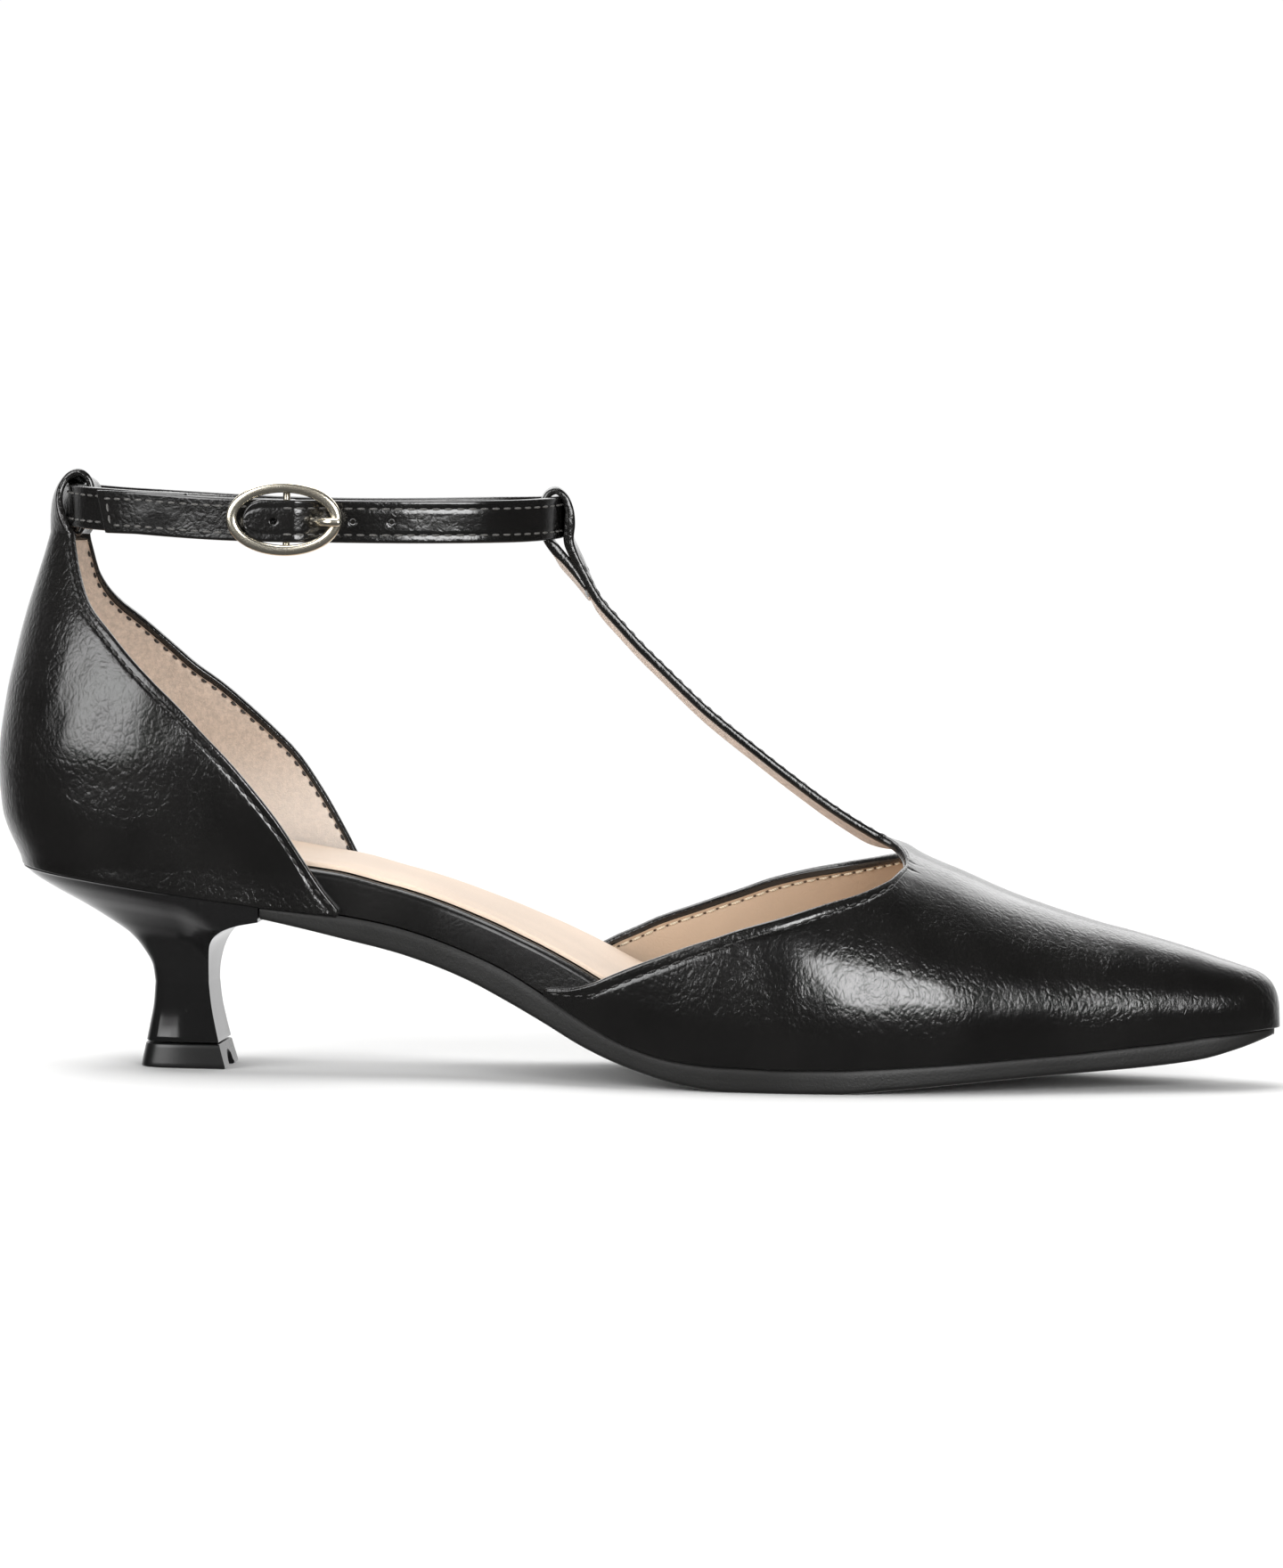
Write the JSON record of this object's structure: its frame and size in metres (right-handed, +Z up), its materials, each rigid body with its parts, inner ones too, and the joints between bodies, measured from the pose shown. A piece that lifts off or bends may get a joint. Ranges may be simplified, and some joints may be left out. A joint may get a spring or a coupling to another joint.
{
  "type": "t-strap kitten heel pump",
  "caption": "Right-foot pump with a pointed toe, open waist, T-strap to a buckled ankle strap, and a small flared heel with an open arch; it stands empty on its sole.",
  "frame": {"origin": "on the floor plane, under the middle of the heel's foot", "axes": "+X from the heel to the toe, +Y from the outer to the inner side, +Z up"},
  "size_m": [0.2641, 0.0776, 0.1226],
  "materials": {
    "upper_leather": "glossy crinkled",
    "board_wrap": "satin",
    "sock_lining": "matte",
    "sole_rubber": "matte",
    "heel_plastic": "glossy",
    "buckle_metal": "polished pale gold"
  },
  "bodies": {
    "root": {"outsole": "sole_rubber", "heel": "heel_plastic", "top_piece": "sole_rubber", "insole_board": "board_wrap", "insole_sock": "sock_lining", "vamp": "upper_leather", "quarter": "upper_leather", "ankle_strap": "upper_leather", "buckle_strap": "upper_leather", "buckle_frame": "buckle_metal", "buckle_prong": "buckle_metal"}
  },
  "joints": []
}
